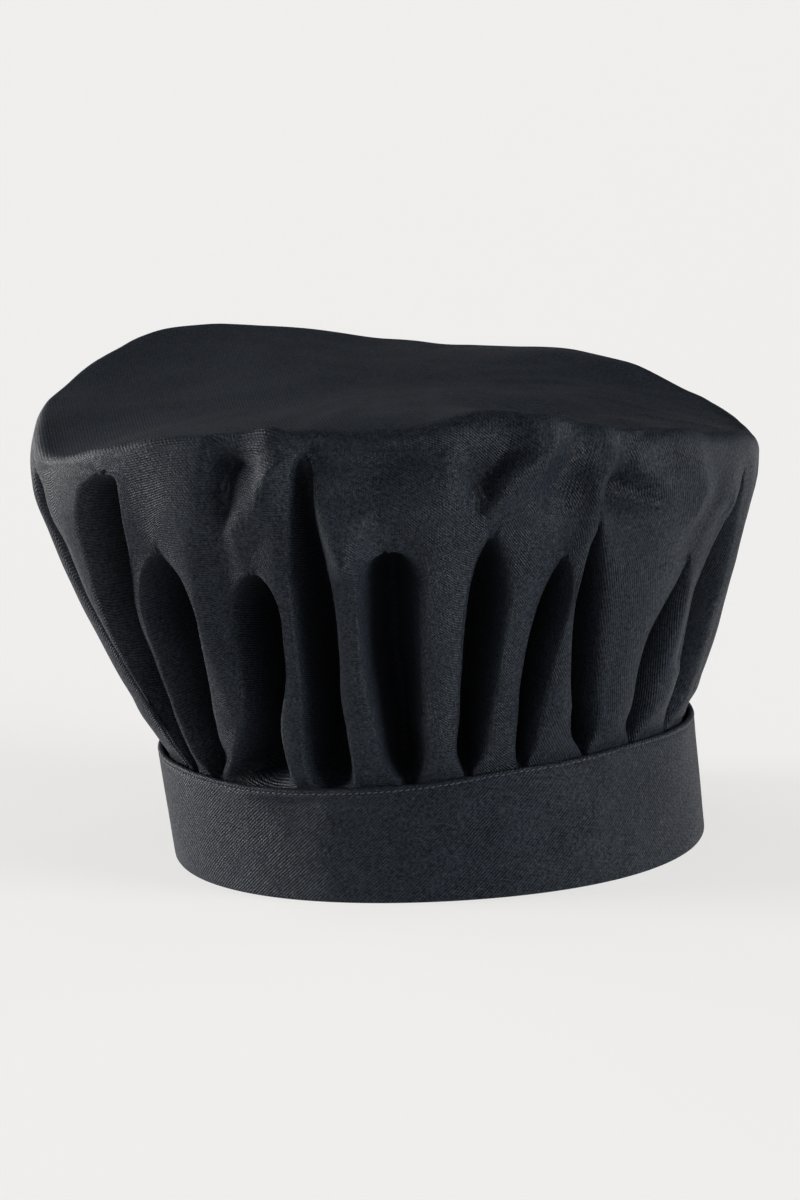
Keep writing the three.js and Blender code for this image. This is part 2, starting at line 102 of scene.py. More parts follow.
# Distance from the crown's axis and height of the widest line, and of the rim above it.
RIM = table(
    "at wide wide_height rim rim_height",
    [
        (-180, 120, 132, 113, 154),
        (-168, 120, 134, 114, 157.5),
        (-154, 124, 140, 118, 162),
        (-139, 126, 145, 119, 165.5),
        (-121, 123.5, 146, 116, 160.5),
        (-105, 123, 143, 118, 155),
        (-88, 123, 138, 116, 151),
        (-68, 126, 134, 120, 145),
        (-52, 127, 137, 120, 151),
        (-34, 125.5, 140, 118, 158.5),
        (-15, 122.5, 141, 115.5, 161.5),
        (0, 122, 140, 114.5, 162),
        (17, 122.5, 139, 114, 163),
        (28, 124, 136, 114, 158),
        (36, 124, 133, 115, 152.5),
        (47, 124, 131, 116, 149),
        (68, 123, 129, 116, 141),
        (90, 120.5, 127, 116, 134),
        (105, 120, 125, 115, 135),
        (120, 120, 125, 115, 139),
        (135, 120, 127, 113, 146.5),
        (150, 120, 130, 113, 151.5),
        (165, 120, 131, 112, 152.5),
    ],
)
# How round the shoulder is: near 0 it has a sharp corner, at 1 it is an ellipse.
SHOULDER = table(
    "at roundness",
    [(-180, 0.8), (-100, 0.8), (-70, 0.7), (-55, 0.48), (-20, 0.42), (5, 0.5), (25, 0.66), (60, 0.8)],
)
# Share of the way out from the seam to the widest line, by share of the way up.
FLARE = table(
    "at out",
    [(0, 0), (0.2, 0.27), (0.4, 0.5), (0.6, 0.71), (0.8, 0.88), (0.93, 0.985), (1, 1)],
)
# Gathering folds. Azimuths of the fold's line at the seam, in the middle and at its head; the
# step at which it ends; its depth; its width to the left and to the right of the line; how
# crisp those two lips are; the share of its length over which it closes; and the share of
# its width that it keeps at the seam.
FOLDS = records(
    "foot middle head end depth left right left_lip right_lip closing foot_width",
    [
        (-63, -69.5, -73, 1.22, 15, 11, 9, 1.4, 2.2, 0.4, 0.2),
        (-59, -57.2, -49.5, 1.13, 22, 14, 13, 1.4, 2.6, 0.25, 0.15),
        (-51, -45.2, -42, 0.8, 22, 11, 12, 1.8, 2.4, 0.3, 0.3),
        (-37, -28.6, -25.4, 0.73, 26, 11.5, 9, 2, 2, 0.22, 1.6),
        (-21.1, -17, -14.3, 1.2, 26, 8.8, 9.6, 2.6, 2, 0.72, 0.95),
        (-4.6, -4.3, -2.5, 0.8, 26, 10.4, 11, 2, 1.5, 0.13, 0.35),
        (8.3, 11.4, 14.2, 0.83, 24, 7.2, 7.8, 2, 2.4, 0.35, 0.2),
        (20.2, 22.4, 26.3, 0.76, 23, 5.4, 6, 1.8, 2.2, 0.35, 0.35),
        (35, 31.6, 31.8, 0.89, 25, 7.4, 7.2, 2, 2.2, 0.5, 0.2),
        (48.6, 49.9, 54.5, 0.7, 23, 9, 8.5, 1.6, 2.2, 0.55, 0.25),
        (63.5, 65.3, 69, 1.0, 18, 12, 10, 1.6, 2, 0.75, 0.3),
        (79.5, 77.5, 79, 0.48, 13, 6.5, 6.5, 1.5, 1.5, 0.5, 0.2),
        (96, 95, 95, 0.9, 14, 7, 7, 0.8, 0.8, 0.4, 0.2),
        (112, 112, 113, 0.7, 15, 7, 7, 0.8, 0.8, 0.3, 0.2),
        (129, 130, 130, 1, 15, 8, 7, 0.8, 0.8, 0.5, 0.2),
        (145, 144, 145, 0.75, 15, 7, 8, 0.8, 0.8, 0.3, 0.3),
        (162, 163, 164, 0.92, 15, 8, 7, 0.8, 0.8, 0.4, 0.2),
        (178, 178, 177, 0.65, 15, 7, 7, 0.8, 0.8, 0.3, 0.2),
        (194, 195, 196, 1.05, 16, 8, 7, 0.8, 0.8, 0.5, 0.3),
        (211, 210, 210, 0.72, 15, 7, 8, 0.8, 0.8, 0.3, 0.2),
        (227, 228, 228, 0.95, 15, 7, 7, 0.8, 0.8, 0.4, 0.2),
        (244, 244, 243, 0.7, 15, 8, 7, 0.8, 0.8, 0.3, 0.2),
        (260, 259, 259, 1, 14, 7, 7, 0.8, 0.8, 0.5, 0.2),
        (277, 271, 270, 0.75, 12, 7, 6, 0.8, 0.8, 0.4, 0.2),
    ],
)
# Share of a fold's depth, by step up the cloth: its foot is pressed against the band.
FOLD_DEPTH = table(
    "at share",
    [(-0.1, 0.02), (-0.03, 0.04), (0, 0.14), (0.04, 0.46), (0.1, 0.74), (0.2, 0.92), (0.38, 1), (3, 1)],
)
# Share of the puffs' rounding, by step up the cloth.
PUFF = table("at share", [(-0.1, 0.3), (0, 0.3), (0.2, 1), (0.6, 1), (1.1, 0.25), (1.6, 0), (3, 0)])
# Rough distance of the puffs from the crown's axis, which turns their mm into degrees.
PUFF_RADIUS = table("at radius", [(0, 96), (1, 124), (2, 116), (3, 116)])
# Pulled creases, each as points along it from its low or left end: where it passes, how
# far the cloth is lifted there, and how far that reaches to the left and right of the way
# along it. At softness 0 two flat facets meet in a crisp line, and at 1 it is a round fold.
CREASES = {
    name: (softness, table("azimuth step lift left right", rows))
    for name, softness, rows in [
        (
            "left_pull",
            0.1,
            [
                (-29.6, 0.86, -1, 3, 4),
                (-28.4, 0.97, -7, 5, 13),
                (-27.4, 1.2, -9, 6, 22),
                (-26.6, 1.5, -5, 7, 20),
                (-26, 1.85, 0, 8, 18),
            ],
        ),
        (
            "left_pull_ridge",
            0.1,
            [
                (-29.6, 0.85, 1, 4, 6),
                (-25, 0.94, 4, 9, 10),
                (-20, 1.03, 5.5, 15, 10),
                (-16.5, 1.15, 4, 20, 8),
                (-14, 1.32, 0, 20, 8),
            ],
        ),
        (
            "left_rim_ridge",
            0.4,
            [
                (-17, 1.2, 0, 8, 10),
                (-20, 1.4, 1, 8, 12),
                (-24, 1.9, 0, 8, 12),
            ],
        ),
        (
            "flap",
            0.3,
            [
                (-9.5, 0.73, 3.5, 4, 6),
                (-11, 0.84, 4, 5, 9),
                (-12.3, 0.98, 3, 4, 12),
                (-14, 1.2, 0, 3, 10),
            ],
        ),
        (
            "swag",
            0.3,
            [
                (-9.5, 0.75, 3, 8, 4),
                (-6.4, 0.89, 3.5, 10, 5),
                (-2.1, 0.95, 3.5, 11, 7),
                (5.6, 0.96, 3, 11, 7),
                (11, 0.94, 2, 10, 6),
            ],
        ),
        (
            "middle_pull",
            0.2,
            [
                (11.6, 0.9, -2, 8, 2),
                (12.6, 0.96, -6, 13, 3),
                (14.5, 1.04, -6, 17, 4),
                (17.5, 1.2, -3, 18, 5),
                (21, 1.4, 0, 18, 6),
            ],
        ),
        (
            "middle_ridge",
            0,
            [
                (12.2, 0.92, 1, 2, 4),
                (15.8, 1, 5, 5, 6),
                (19.6, 1.09, 5, 8, 6.5),
                (25, 1.35, 2.5, 12, 7),
                (30, 1.85, 0.5, 14, 10),
            ],
        ),
        (
            "right_valley",
            0.4,
            [
                (23, 0.88, -1, 6, 6),
                (24, 1, -3.5, 6, 9),
                (27, 1.2, -3.5, 7, 10),
                (31, 1.6, -1, 9, 12),
            ],
        ),
        (
            "right_ridge",
            0,
            [
                (31, 0.84, 1, 5, 3),
                (29.8, 0.95, 4, 9, 3),
                (31.2, 1.04, 5, 11, 3.5),
                (33.6, 1.22, 4, 12, 4),
                (36.4, 1.5, 2, 14, 6),
                (38.5, 1.85, 0.5, 14, 8),
            ],
        ),
        (
            "right_fall",
            0.1,
            [
                (34.6, 0.86, -2, 3, 16),
                (34, 0.95, -7, 4, 32),
                (35, 1.06, -12, 5, 36),
                (37.2, 1.3, -8, 6, 30),
                (38.5, 1.65, -2, 6, 20),
            ],
        ),
        (
            "right_facet_edge",
            0.1,
            [
                (50, 0.82, 1, 8, 6),
                (53, 0.98, 4, 12, 12),
                (51.5, 1.2, 3, 14, 14),
                (46, 1.6, 0, 14, 12),
            ],
        ),
        (
            "left_valley",
            0.6,
            [
                (-34, 0.25, -2, 8, 5),
                (-32, 0.55, -6, 12, 9),
                (-30, 0.82, -4, 10, 7),
                (-28, 0.92, -1, 6, 4),
            ],
        ),
        (
            "right_slope",
            0.6,
            [
                (58, 0.3, -2, 8, 8),
                (60.5, 0.55, -5, 12, 9),
                (63, 0.8, -3, 12, 9),
            ],
        ),
    ]
}
# Soft hollows below the rim: place, reach along and up the cloth, and depth.
HOLLOWS = records(
    "at step along up depth",
    [
        (-1, 1.35, 24, 16, 5),
        (-4, 0.98, 5, 6, 1.5),
    ],
)
CLOTH_LENGTH = table(
    "at length",
    [
        (-0.1, -TUCK),
        (0, 0),
        (1, SIDE_CLOTH),
        (2, SIDE_CLOTH + SHOULDER_CLOTH),
        (3, SIDE_CLOTH + SHOULDER_CLOTH + TOP_CLOTH),
    ],
)


def smooth(x, low=0.0, high=1.0):
    share = np.clip((x - low) / (high - low), 0, 1)
    return share * share * (3 - 2 * share)


def mix(a, b, share):
    return a + (b - a) * share


def half_turn(degrees):
    return (degrees + 180) % 360 - 180


def through(rows, x, column):
    """A smooth curve through the rows of a table, read at x."""
    at = rows["at"]
    values = rows[column]
    x = np.clip(x, at[0], at[-1])
    i = np.clip(np.searchsorted(at, x, side="right") - 1, 0, len(at) - 2)
    slopes = np.gradient(values, at)
    span = at[i + 1] - at[i]
    t = (x - at[i]) / span
    rise = values[i + 1] - values[i]
    bend = t * t * (3 - 2 * t)
    return values[i] + rise * bend + t * (1 - t) * span * ((1 - t) * slopes[i] - t * slopes[i + 1])


def around(rows, azimuth, column):
    """The same for a table that goes once round the hat."""
    turns = {
        "at": np.concatenate([rows["at"] + turn for turn in (-360, 0, 360)]),
        column: np.tile(rows[column], 3),
    }
    return through(turns, half_turn(azimuth), column)


def band_outline(azimuth, up, margin):
    """x and y of the band's outer face at a share of its height, set out by a margin."""
    a = np.radians(azimuth)
    shape = 1 - BAND_THREE_LOBE * np.cos(3 * a) - BAND_SQUARENESS * np.cos(4 * a)
    grown = BAND_TOP_FLARE * up + margin
    x = BAND_CENTRE[0] + BAND_TOP_SHIFT * up + (BAND_WIDTH / 2 + grown) * np.sin(a) * shape
    y = BAND_CENTRE[1] - (BAND_DEPTH / 2 + grown) * np.cos(a) * shape
    return x, y


def crown_ring(azimuth, radius, height):
    a = np.radians(azimuth)
    return CROWN_CENTRE[0] + radius * np.sin(a), CROWN_CENTRE[1] - radius * np.cos(a), height


def crown_form(azimuth, step):
    """The crown's surface as it would be without its folds."""
    band_top = around(BAND_TOP, azimuth, "height")
    tucked = np.minimum(step, 0) / TUCK_STEP * TUCK
    seam_x, seam_y = band_outline(azimuth, 1 - tucked / band_top, -BAND_WALL - SEAM_GAP)
    seam = (seam_x, seam_y, band_top + SEAM_LIFT - tucked)
    wide = crown_ring(azimuth, around(RIM, azimuth, "wide"), around(RIM, azimuth, "wide_height"))
    rim = crown_ring(azimuth, around(RIM, azimuth, "rim"), around(RIM, azimuth, "rim_height"))
    middle = (*CROWN_CENTRE, TOP_CENTRE_HEIGHT)
    up = np.clip(step, 0, 1)
    out = through(FLARE, up, "out")
    turn = np.clip(step - 1, 0, 1) * np.pi / 2
    roundness = around(SHOULDER, azimuth, "roundness")
    inward = 1 - np.maximum(np.cos(turn), 0) ** roundness
    lifted = np.sin(turn) ** roundness
    over = 3 - step
    axes = []
    for axis in range(3):
        side = mix(seam[axis], wide[axis], up if axis == 2 else out)
        shoulder = mix(wide[axis], rim[axis], lifted if axis == 2 else inward)
        top = mix(middle[axis], rim[axis], over * over if axis == 2 else over)
        axes.append(np.where(step <= 1, side, np.where(step <= RIM_STEP, shoulder, top)))
    return np.stack(axes, -1)


def fold_line(fold, step):
    """Azimuth of a fold's line at a step up the cloth."""
    middle = min(0.45, fold["end"] / 2)
    line = table(
        "at azimuth",
        [
            (0, fold["foot"]),
            (middle, fold["middle"]),
            (max(fold["end"], middle + 0.1), fold["head"]),
            (3, fold["head"]),
        ],
    )
    return through(line, step, "azimuth")


# A fold spreads out into plain cloth from just under its head, over a length in steps.
SPREAD_FROM = 0.95
SPREAD_OVER = 0.35
FULLEST = 0.92  # the most of the gap between two folds that their walls may take


def fold_open(fold, step):
    """1 along an open fold, falling to 0 at its head: a long closing makes a pointed arch."""
    x = np.clip((step / fold["end"] - 1 + fold["closing"]) / fold["closing"], 0, 1)
    return np.maximum(1 - x * x, 0) ** (0.3 + 1.2 * fold["closing"])


def fold_depth(fold, step):
    return fold["depth"] * through(FOLD_DEPTH, step, "share") * fold_open(fold, step) ** 1.1


def fold_width(fold, step, side):
    foot = fold["foot_width"]
    low = mix(0.45, 1, foot)
    body = table("at share", [(0, foot), (0.06, low), (0.25, 0.78), (0.5, 0.92), (0.75, 1), (1, 1)])
    share = through(body, np.clip(step / fold["end"], 0, 1), "share")
    return fold[side] * share * mix(0.1, 1, fold_open(fold, step))


def across_puff(fold, after, turn, share, step):
    """Azimuth and sinking of the cloth at a share of the way from one fold to the next."""
    first = fold_line(fold, step)
    second = fold_line(after, step) + turn
    gap = second - first
    radius = through(PUFF_RADIUS, step, "radius")

    def wall(one, side):
        start = one["end"] * SPREAD_FROM
        spread = smooth(step, start, start + SPREAD_OVER)
        return mix(fold_width(one, step, side) / np.radians(radius), gap / 3, spread)

    wall_out = wall(fold, "right")
    wall_in = wall(after, "left")
    squeeze = np.minimum(1, gap * FULLEST / (wall_out + wall_in))
    wall_out = wall_out * squeeze
    wall_in = wall_in * squeeze
    third = share * 3
    from_first = np.clip(third, 0, 1)
    from_next = np.clip(3 - third, 0, 1)
    azimuth = first + wall_out + (gap - wall_out - wall_in) * (third - 1)
    azimuth = np.where(third < 1, first + wall_out * third, azimuth)
    azimuth = np.where(third > 2, second - wall_in * (3 - third), azimuth)
    sunk = fold_depth(fold, step) * (1 - smooth(from_first ** fold["right_lip"]))
    sunk = sunk + fold_depth(after, step) * (1 - smooth(from_next ** after["left_lip"]))
    rounded = (1 + np.cos(2 * np.pi * (azimuth - first) / gap)) / 2
    return azimuth, sunk + rounded * ROUNDING * through(PUFF, step, "share")


def up_cloth(step):
    return through(CLOTH_LENGTH, step, "length")


def along_cloth(start, azimuth):
    return np.radians(half_turn(azimuth - start)) * REFERENCE_RADIUS


def crease_lift(softness, path, azimuth, step):
    """Lift of one crease at points of the cloth: highest on its line, none past its widths."""
    start = path["azimuth"][0]
    x = along_cloth(start, azimuth)
    y = up_cloth(step)
    path_x = along_cloth(start, path["azimuth"])
    path_y = up_cloth(path["step"])
    nearest = np.full(np.shape(x), np.inf)
    lift = np.zeros(np.shape(x))
    for k in range(len(path_x) - 1):
        span_x = path_x[k + 1] - path_x[k]
        span_y = path_y[k + 1] - path_y[k]
        length = np.hypot(span_x, span_y)
        share = np.clip(((x - path_x[k]) * span_x + (y - path_y[k]) * span_y) / length**2, 0, 1)
        off_x = x - path_x[k] - share * span_x
        off_y = y - path_y[k] - share * span_y
        away = np.hypot(off_x, off_y)
        to_right = off_x * span_y - off_y * span_x
        at = {name: mix(path[name][k], path[name][k + 1], share) for name in ("lift", "left", "right")}
        reach = np.clip(away / np.where(to_right < 0, at["left"], at["right"]), 0, 1)
        shape = mix((1 - reach) ** 1.25, 1 - smooth(reach), softness)
        lift = np.where(away < nearest, at["lift"] * shape, lift)
        nearest = np.minimum(nearest, away)
    return lift


def hollow_depth(hollow, azimuth, step):
    along = along_cloth(hollow["at"], azimuth) / hollow["along"]
    up = (up_cloth(step) - up_cloth(hollow["step"])) / hollow["up"]
    return hollow["depth"] * np.exp(-(along**2) - up**2)


def crown_point(azimuth, sunk, step):
    lift = -sunk
    for softness, path in CREASES.values():
        lift = lift + crease_lift(softness, path, azimuth, step)
    for hollow in HOLLOWS:
        lift = lift - hollow_depth(hollow, azimuth, step)
    upward = smooth(step, 0.8, 2.0)
    a = np.radians(azimuth)
    outward = np.stack([np.sin(a) * (1 - upward), -np.cos(a) * (1 - upward), upward], -1)
    outward /= np.linalg.norm(outward, axis=-1, keepdims=True)
    return crown_form(azimuth, step) + outward * lift[..., None]


# The fine grid and the cloth's own small shapes
COLUMNS_PER_FOLD = 26
ROWS_BESIDE = 58  # from the seam to a fold's head
ROWS_ABOVE = 32  # from there to the rim
ROWS_TOP = 18  # from the rim to the middle
ROWS_TUCKED = 3
LAST_STEP = 2.985  # of the smallest ring, which a fan of triangles closes
INNER_CELL = 2.6  # mm of cloth in a cell of the inner face
PAINTED_SHADE_DEPTH = (3.0, 15.0)  # sunk so far, painted shade begins to darken the cloth, and is darkest

# Wrinkles that run up from the gathers: cell across and along the cloth, height, and the
# steps over which they show and fade.
GATHER_WRINKLES = records(
    "across along height start full fade gone seed",
    [
        (14, 46, 0.7, 0, 0.12, 0.5, 1.1, 5),
        (7, 30, 0.4, 0, 0.06, 0.3, 0.8, 8),
        (22, 8, 0.6, 0, 0.05, 0.12, 0.3, 15),
    ],
)
# Soft uneven places of the whole crown: their size, height, and the steps where they begin.
SOFT_WRINKLES = records(
    "cell height start full seed",
    [
        (38, 1.5, 0.6, 1.2, 3),
        (19, 0.5, 0.3, 0.9, 11),
        (9, 0.2, 0, 0.3, 13),
    ],
)
# Random values of the noises: rows of them up the cloth, and along an edge of their cube.
NOISE_ROWS = 80
NOISE_ROWS_BELOW = 10  # below the seam, for the tucked cloth
NOISE_CUBE = 40


def cloth_noise(azimuth, up, across, along, seed):
    """Smooth noise from -1 to 1 over the cloth, closed round the hat."""
    cells = round(2 * np.pi * REFERENCE_RADIUS / across)
    values = np.random.default_rng(seed).uniform(-1, 1, (cells, NOISE_ROWS))
    a = azimuth / 360 * cells
    b = up / along + NOISE_ROWS_BELOW
    i = np.floor(a).astype(int)
    j = np.floor(b).astype(int)
    s = smooth(a - i)
    t = smooth(b - j)
    low = mix(values[i % cells, j], values[(i + 1) % cells, j], s)
    high = mix(values[i % cells, j + 1], values[(i + 1) % cells, j + 1], s)
    return mix(low, high, t)


def space_noise(points, cell, seed):
    """Smooth noise from -1 to 1 in space."""
    size = NOISE_CUBE
    values = np.random.default_rng(seed).uniform(-1, 1, (size, size, size))
    place = points / cell + size / 2
    low = np.floor(place).astype(int)
    share = smooth(place - low)
    total = 0
    for corner in np.ndindex(2, 2, 2):
        weight = np.prod(np.where(np.array(corner) == 1, share, 1 - share), -1)
        i, j, k = np.moveaxis((low + corner) % size, -1, 0)
        total = total + weight * values[i, j, k]
    return total


def wrinkled(points, azimuth, step):
    """Lift of the small wrinkles: drawn up from the gathers, and mottled all over."""
    lift = 0
    up = up_cloth(step)
    for row in GATHER_WRINKLES:
        shown = smooth(step, row["start"], row["full"]) * (1 - smooth(step, row["fade"], row["gone"]))
        noise = cloth_noise(azimuth, up, row["across"], row["along"], row["seed"])
        lift = lift + row["height"] * shown * noise
    for row in SOFT_WRINKLES:
        shown = smooth(step, row["start"], row["full"])
        lift = lift + row["height"] * shown * space_noise(points, row["cell"], row["seed"])
    return lift


def grid_normals(points):
    """Unit normals of a grid of points whose rows go up the cloth and columns go round it."""
    round_it = np.roll(points, -1, 1) - np.roll(points, 1, 1)
    up_it = np.gradient(points, axis=0)
    normals = np.cross(round_it, up_it)
    return normals / np.maximum(np.linalg.norm(normals, axis=-1, keepdims=True), 1e-9)


def crown_grid():
    """Points of the outer face, rows by columns, with each one's azimuth, step and sinking."""
    blocks = []
    for i, fold in enumerate(FOLDS):
        after = FOLDS[(i + 1) % len(FOLDS)]
        turn = 360 if i == len(FOLDS) - 1 else 0
        share = np.arange(COLUMNS_PER_FOLD) / COLUMNS_PER_FOLD
        head = mix(fold["end"], after["end"], smooth(share))
        tucked = np.linspace(TUCK_STEP, 0, ROWS_TUCKED, endpoint=False)[:, None] + 0 * share
        beside = np.linspace(0, 1, ROWS_BESIDE, endpoint=False)[:, None] * head
        above = mix(head, RIM_STEP, np.linspace(0, 1, ROWS_ABOVE, endpoint=False)[:, None])
        top = np.linspace(RIM_STEP, LAST_STEP, ROWS_TOP)[:, None] + 0 * share
        step = np.concatenate([tucked, beside, above, top])
        azimuth, sunk = across_puff(fold, after, turn, share + 0 * step, step)
        blocks.append((azimuth, sunk, step))
    azimuth, sunk, step = (np.concatenate(part, 1) for part in zip(*blocks))
    points = crown_point(azimuth, sunk, step)
    points = points + grid_normals(points) * wrinkled(points, azimuth, step)[..., None]
    return points, azimuth, step, sunk


def flat_pattern(points, azimuth, step):
    """Where each corner of each cell lies on the flat circle of cloth, in mm.

    A corner's radius there is the length of cloth from it to the middle of the top. The cloth
    of a puff keeps its true width, and what a fold swallows is left out inside it.
    """
    rows, columns = step.shape
    width = COLUMNS_PER_FOLD
    closed = np.concatenate([points, points[:, :1]], 1)
    arc = np.concatenate(
        [np.zeros((rows, 1)), np.cumsum(np.linalg.norm(np.diff(closed, axis=1), axis=-1), 1)], 1
    )
    closed_azimuth = np.concatenate([azimuth, azimuth[:, :1] + 360], 1)
    closed_step = np.concatenate([step, step[:, :1]], 1)
    form = crown_form(closed_azimuth, closed_step)
    top_middle = np.array([*CROWN_CENTRE, TOP_CENTRE_HEIGHT])
    last_stretch = np.linalg.norm(form[-1] - top_middle, axis=-1)
    stretches = np.linalg.norm(np.diff(form, axis=0), axis=-1)
    to_last_ring = np.concatenate([np.cumsum(stretches[::-1], 0)[::-1], np.zeros((1, columns + 1))])
    radii = to_last_ring + last_stretch
    cells = []
    for i, fold in enumerate(FOLDS):
        span = slice(i * width, (i + 1) * width + 1)
        radius = radii[:, span]
        start = closed_azimuth[:, span][:, :1]
        end = closed_azimuth[:, span][:, -1:]
        middle = np.radians((start + end) / 2)
        across = arc[:, span] - arc[:, span].mean(1, keepdims=True)
        length = (arc[:, span][:, -1:] - arc[:, span][:, :1]) / np.maximum(radius, 0.5)
        fitted = np.radians(end - start) / np.maximum(length, 1e-6)
        above = smooth(closed_step[:, span], fold["end"] - 0.15, fold["end"] + 0.2)
        angle = middle + across / np.maximum(radius, 0.5) * mix(1.0, fitted, above)
        cells.append(np.stack([radius * np.cos(angle), radius * np.sin(angle)], -1))
    return cells


def mesh_object(name, points, faces, uvs=None):
    mesh = bpy.data.meshes.new(name)
    mesh.from_pydata((points * MM).tolist(), [], faces)
    if uvs is not None:
        layer = mesh.uv_layers.new(name="cloth")
        layer.data.foreach_set("uv", np.asarray(uvs, float).ravel())
    mesh.polygons.foreach_set("use_smooth", [True] * len(mesh.polygons))
    mesh.update()
    made = bpy.data.objects.new(name, mesh)
    bpy.context.scene.collection.objects.link(made)
    return made


def make_crown():
    points, azimuth, step, sunk = crown_grid()
    normals = grid_normals(points)
    rows, columns = step.shape
    cells = flat_pattern(points, azimuth, step)
    middle = points[-1].mean(0)
    outer = np.concatenate([points.reshape(-1, 3), middle[None]])
    faces = []
    uvs = []
    for i in range(len(FOLDS)):
        cell = cells[i]
        for c in range(COLUMNS_PER_FOLD):
            here = i * COLUMNS_PER_FOLD + c
            there = (here + 1) % columns
            for r in range(rows - 1):
                low = r * columns
                high = low + columns
                faces.append((low + here, low + there, high + there, high + here))
                uvs += [cell[r, c], cell[r, c + 1], cell[r + 1, c + 1], cell[r + 1, c]]
            last = (rows - 1) * columns
            faces.append((last + here, last + there, rows * columns))
            uvs += [cell[-1, c], cell[-1, c + 1], np.zeros(2)]
    # the inner face, on every other row and column, and the raw edge between the two
    inner_rows = list(range(0, rows, 2))
    inner = points[inner_rows][:, ::2] - normals[inner_rows][:, ::2] * CROWN_WALL
    half = columns // 2
    shift = len(outer)
    inner_middle = middle - np.array([0, 0, CROWN_WALL])
    for r in range(len(inner_rows) - 1):
        for c in range(half):
            low = shift + r * half
            high = low + half
            d = (c + 1) % half
            faces.append((low + d, low + c, high + c, high + d))
            at = np.array([[c + 1, r], [c, r], [c, r + 1], [c + 1, r + 1]]) * INNER_CELL
            uvs += list(at)
    last = shift + (len(inner_rows) - 1) * half
    for c in range(half):
        d = (c + 1) % half
        faces.append((last + d, last + c, shift + len(inner_rows) * half))
        uvs += [np.zeros(2)] * 3
        faces.append((2 * c, shift + c, shift + d, (2 * c + 2) % columns, 2 * c + 1))
        uvs += [np.zeros(2)] * 5
    everything = np.concatenate([outer, inner.reshape(-1, 3), inner_middle[None]])
    made = mesh_object("crown_cloth", everything, faces, uvs)
    # 0 to 1: how far each point of the outer face lies inside a fold, where painted shade darkens it
    painted_fold_shade = np.zeros(len(everything))
    painted_fold_shade[: sunk.size] = smooth(sunk, *PAINTED_SHADE_DEPTH).ravel()
    made.data.attributes.new("painted_fold_shade", "FLOAT", "POINT").data.foreach_set("value", painted_fold_shade)
    return made


# The band's grid and its stitches
BAND_COLUMNS = 720
BAND_CLOTH_RADIUS = 94.6
STITCH_DROP = table(
    "at drop", [(-180, 1.5), (-60, 1.7), (-20, 1.6), (15, 1.2), (45, 1), (100, 1.1)]
)  # from the band's upper edge to its topstitching
STITCH_PITCH = 2.1
STITCH_LENGTH = 1.55
STITCH_RADIUS = 0.19
STITCH_SUNK = 0.12  # of a stitch's middle in the cloth
STITCH_LEAN = 0.2
PUCKER = 0.1  # height of the small waves that the topstitching draws
SIDE_ROW = {"at": -74.5, "below": 8.0, "pitch": 1.5, "count": 10, "lean": 97, "radius": 0.13}

# The band's section from the inside of its lower edge, round the outside, to the inside
# again: how far up, in from the outer face, and below or above the edge.
BAND_SECTION = records(
    "up inward rise",
    [
        (0, 1.5, 0.0),
        (0, 0.8, 0.0),
        (0, 0.3, 0.22),
        (0, 0.05, 0.6),
        (0, 0.0, 1.2),
        (0.08, 0.0, 0.0),
        (0.16, 0.0, 0.0),
        (0.25, 0.0, 0.0),
        (0.34, 0.0, 0.0),
        (0.43, 0.0, 0.0),
        (0.52, 0.0, 0.0),
        (0.61, 0.0, 0.0),
        (0.7, 0.0, 0.0),
        (0.78, 0.0, 0.0),
        (0.85, 0.0, 0.0),
        (1, 0.0, -4.0),
        (1, 0.02, -2.9),
        (1, 0.1, -2.2),
        (1, 0.3, -1.75),
        (1, 0.3, -1.45),
        (1, 0.08, -1.05),
        (1, 0.05, -0.65),
        (1, 0.25, -0.25),
        (1, 0.7, 0.0),
        (1, 1.5, 0.0),
        (1, 2.0, -0.4),
        (1, 2.2, -1.0),
        (0.75, 2.2, 0.0),
        (0.5, 2.2, 0.0),
        (0.25, 2.2, 0.0),
        (0, 2.2, 1.0),
        (0, 2.0, 0.4),
    ],
)
# Soft dents and swellings of the band: place, height, reach along and up, and lift.
BAND_DENTS = records(
    "at height along up lift",
    [
        (-30, 32.5, 16, 2.0, -1.9),
        (-18, 29, 24, 7, -1.1),
        (-10, 22, 26, 9, -0.8),
        (35, 18, 30, 16, 0.5),
        (-55, 14, 24, 10, 0.5),
        (62, 12, 18, 12, -0.6),
        (100, 20, 26, 12, -0.6),
        (150, 22, 30, 12, 0.6),
        (215, 18, 28, 12, -0.6),
        (262, 20, 24, 14, 0.5),
    ],
)


def band_lift(azimuth, height):
    lift = 0.22 * cloth_noise(azimuth, height, 22, 18, 21)
    for dent in BAND_DENTS:
        along = along_cloth(dent["at"], azimuth) / dent["along"]
        up = (height - dent["height"]) / dent["up"]
        lift = lift + dent["lift"] * np.exp(-(along**2) - up**2)
    return lift


def band_place(azimuth, up, inward, rise):
    """Points of the band, with its soft shapes on both faces."""
    top = around(BAND_TOP, azimuth, "height")
    height = top * up + rise
    fade = smooth(height, 0.5, 6) * (1 - smooth(height, top - 5, top - 1))
    x, y = band_outline(azimuth, height / top, -inward + band_lift(azimuth, height) * fade)
    return np.stack([x, y, height], -1)


